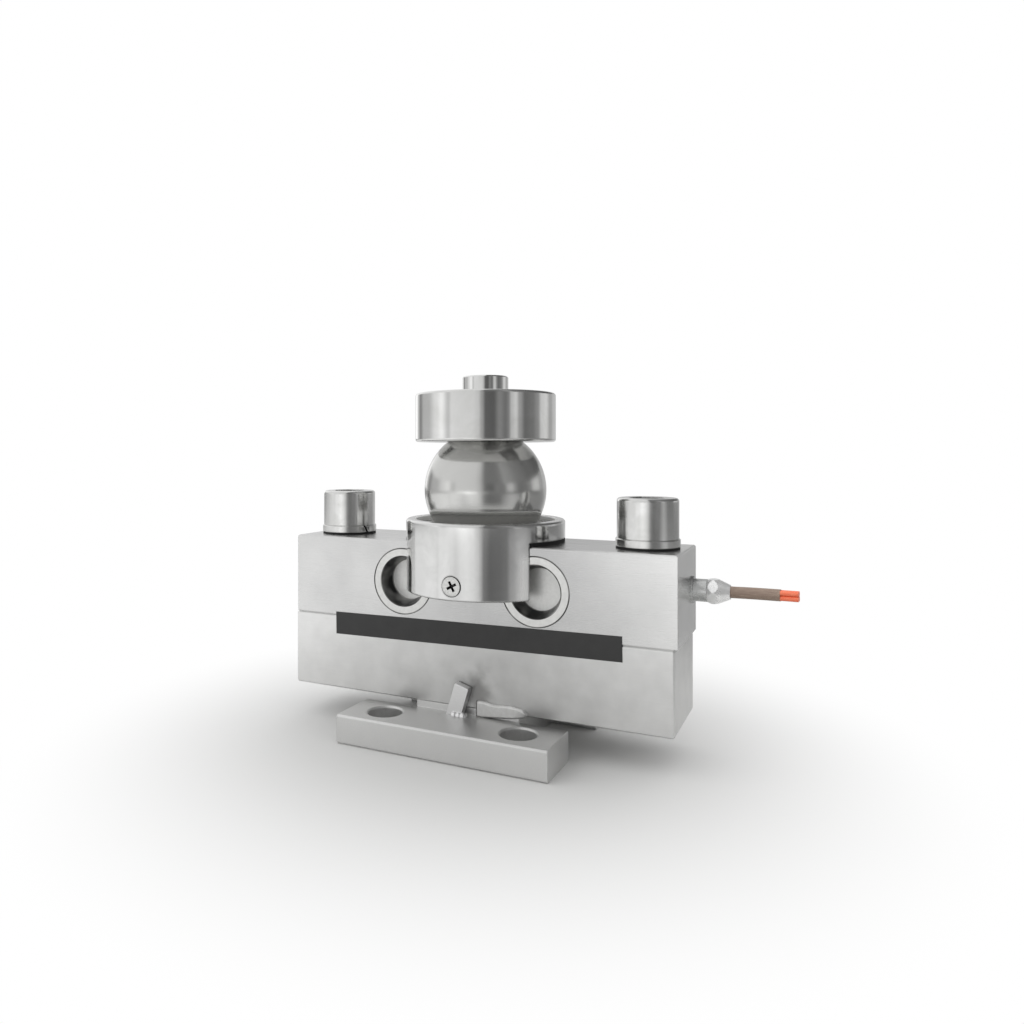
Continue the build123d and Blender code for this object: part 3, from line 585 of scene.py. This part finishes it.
# lacquered epoxy board: dark green and satin
boardLook = {"dark": "#1c4a2c", "pale": "#245c38", "grain": (1.0, 1.0, 1.0), "rough": 0.35,
             "ior": 1.55, "relief": 0.1}

# The upright axes of the bolts, in millimetres. The gland lies along X: its streaks are off, so its
# upright axis only places grooves too faint to show.
axes = {"boltLeft": (-87.5, 0), "boltRight": (87.5, 0), "gland": (106, 14)}
sealingCups = [f"sealing_cup_{face}_{side}" for face in faces for side in sides]
gauges = [f"gauge_{face}_{side}" for face in faces for side in sides]

sheathPvc = moulded("extrudedPvcSheath", sheathLook)
dress(groundSteel("groundNickelPlatedSteel", beamLook), "beam")
dress(groundSteel("milledNickelPlatedSteel", baseLook), "base_block")
dress(groundSteel("blastedSteel", footLook), "foot")
dress(groundSteel("weldedSteel", weldLook), "pad_weld_front", "pad_weld_rear")
dress(groundSteel("sawnBrightSteel", lugLook), "stop_lug")
dress(turnedSteel("turnedPolishedSteel", cupLook), "upper_cup")
dress(turnedSteel("polishedCastSteel", saddleLook), "saddle")
dress(turnedSteel("lappedBearingSteel", ballLook), "ball")
dress(turnedSteel("chromedBoltSteelLeft", boltLook, axes["boltLeft"]), "bolt_left", "lock_washer_left")
dress(turnedSteel("chromedBoltSteelRight", boltLook, axes["boltRight"]), "bolt_right", "lock_washer_right")
dress(recessedSteel("zincPlatedScrew", screwLook), "saddle_screw_front", "saddle_screw_rear")
dress(pressedStainless("deepDrawnStainless", sealingCupLook), *sealingCups)
dress(moulded("polyimideGaugeFilm", gaugeLook), *gauges)
dress(moulded("nitrileRubber", nitrileLook), "saddle_gasket", "gland_seal", "seal_ring_left",
      "seal_ring_right")
dress(moulded("dustyNitrileRubber", dustRingLook), "dust_ring")
dress(turnedSteel("nickelPlatedBrass", glandLook, axes["gland"]), "gland_body", "gland_ring")
dress(turnedSteel("nickelPlatedBrassPaintedWhite", nutLook, axes["gland"]), "gland_nut")
dress(moulded("vinylLabelFilm", filmLook), "label_strip")
dress(sheathPvc, "cable_jacket")
dress(moulded("corePvcInsulation", coreLook), "cable_cores", "inner_cores", "bridge_wires")
dress(moulded("lacqueredEpoxyBoard", boardLook), "terminal_board")
print("materials made")


# the cable is one spline on the route's points, in a plain round section, in millimetres
cable = {
    "diameter": 5.7,
    "length": 35.5,
    "route": [(112.0, 14.0, 81.7), (123.8, 14.0, 81.7), (135.6, 13.4, 82.1), (147.4, 12.1, 82.3)],
    "pieces": ["cable_cores", "inner_cores", "gland_nut", "gland_seal", "gland_body", "gland_ring"],
    "stepsRound": 10,
    "stepsAlong": 24,
}


def makeCable():
    data = bpy.data.curves.new("cableSheath", "CURVE")
    data.dimensions = "3D"
    data.bevel_depth = cable["diameter"] / 2 * mm
    data.bevel_resolution = cable["stepsRound"]
    data.resolution_u = cable["stepsAlong"]
    data.use_fill_caps = True
    spline = data.splines.new("NURBS")
    spline.points.add(len(cable["route"]) - 1)
    for point, place in zip(spline.points, cable["route"]):
        point.co = (*(Vector(place) * mm), 1.0)
    spline.order_u = 3
    spline.use_endpoint_u = True
    data.materials.append(sheathPvc)
    item = bpy.data.objects.new("cableSheath", data)
    scene.collection.objects.link(item)
    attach(item, "root")
    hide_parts("cable_jacket")


makeCable()
print("cable made")

scene.view_settings.view_transform = "Standard"
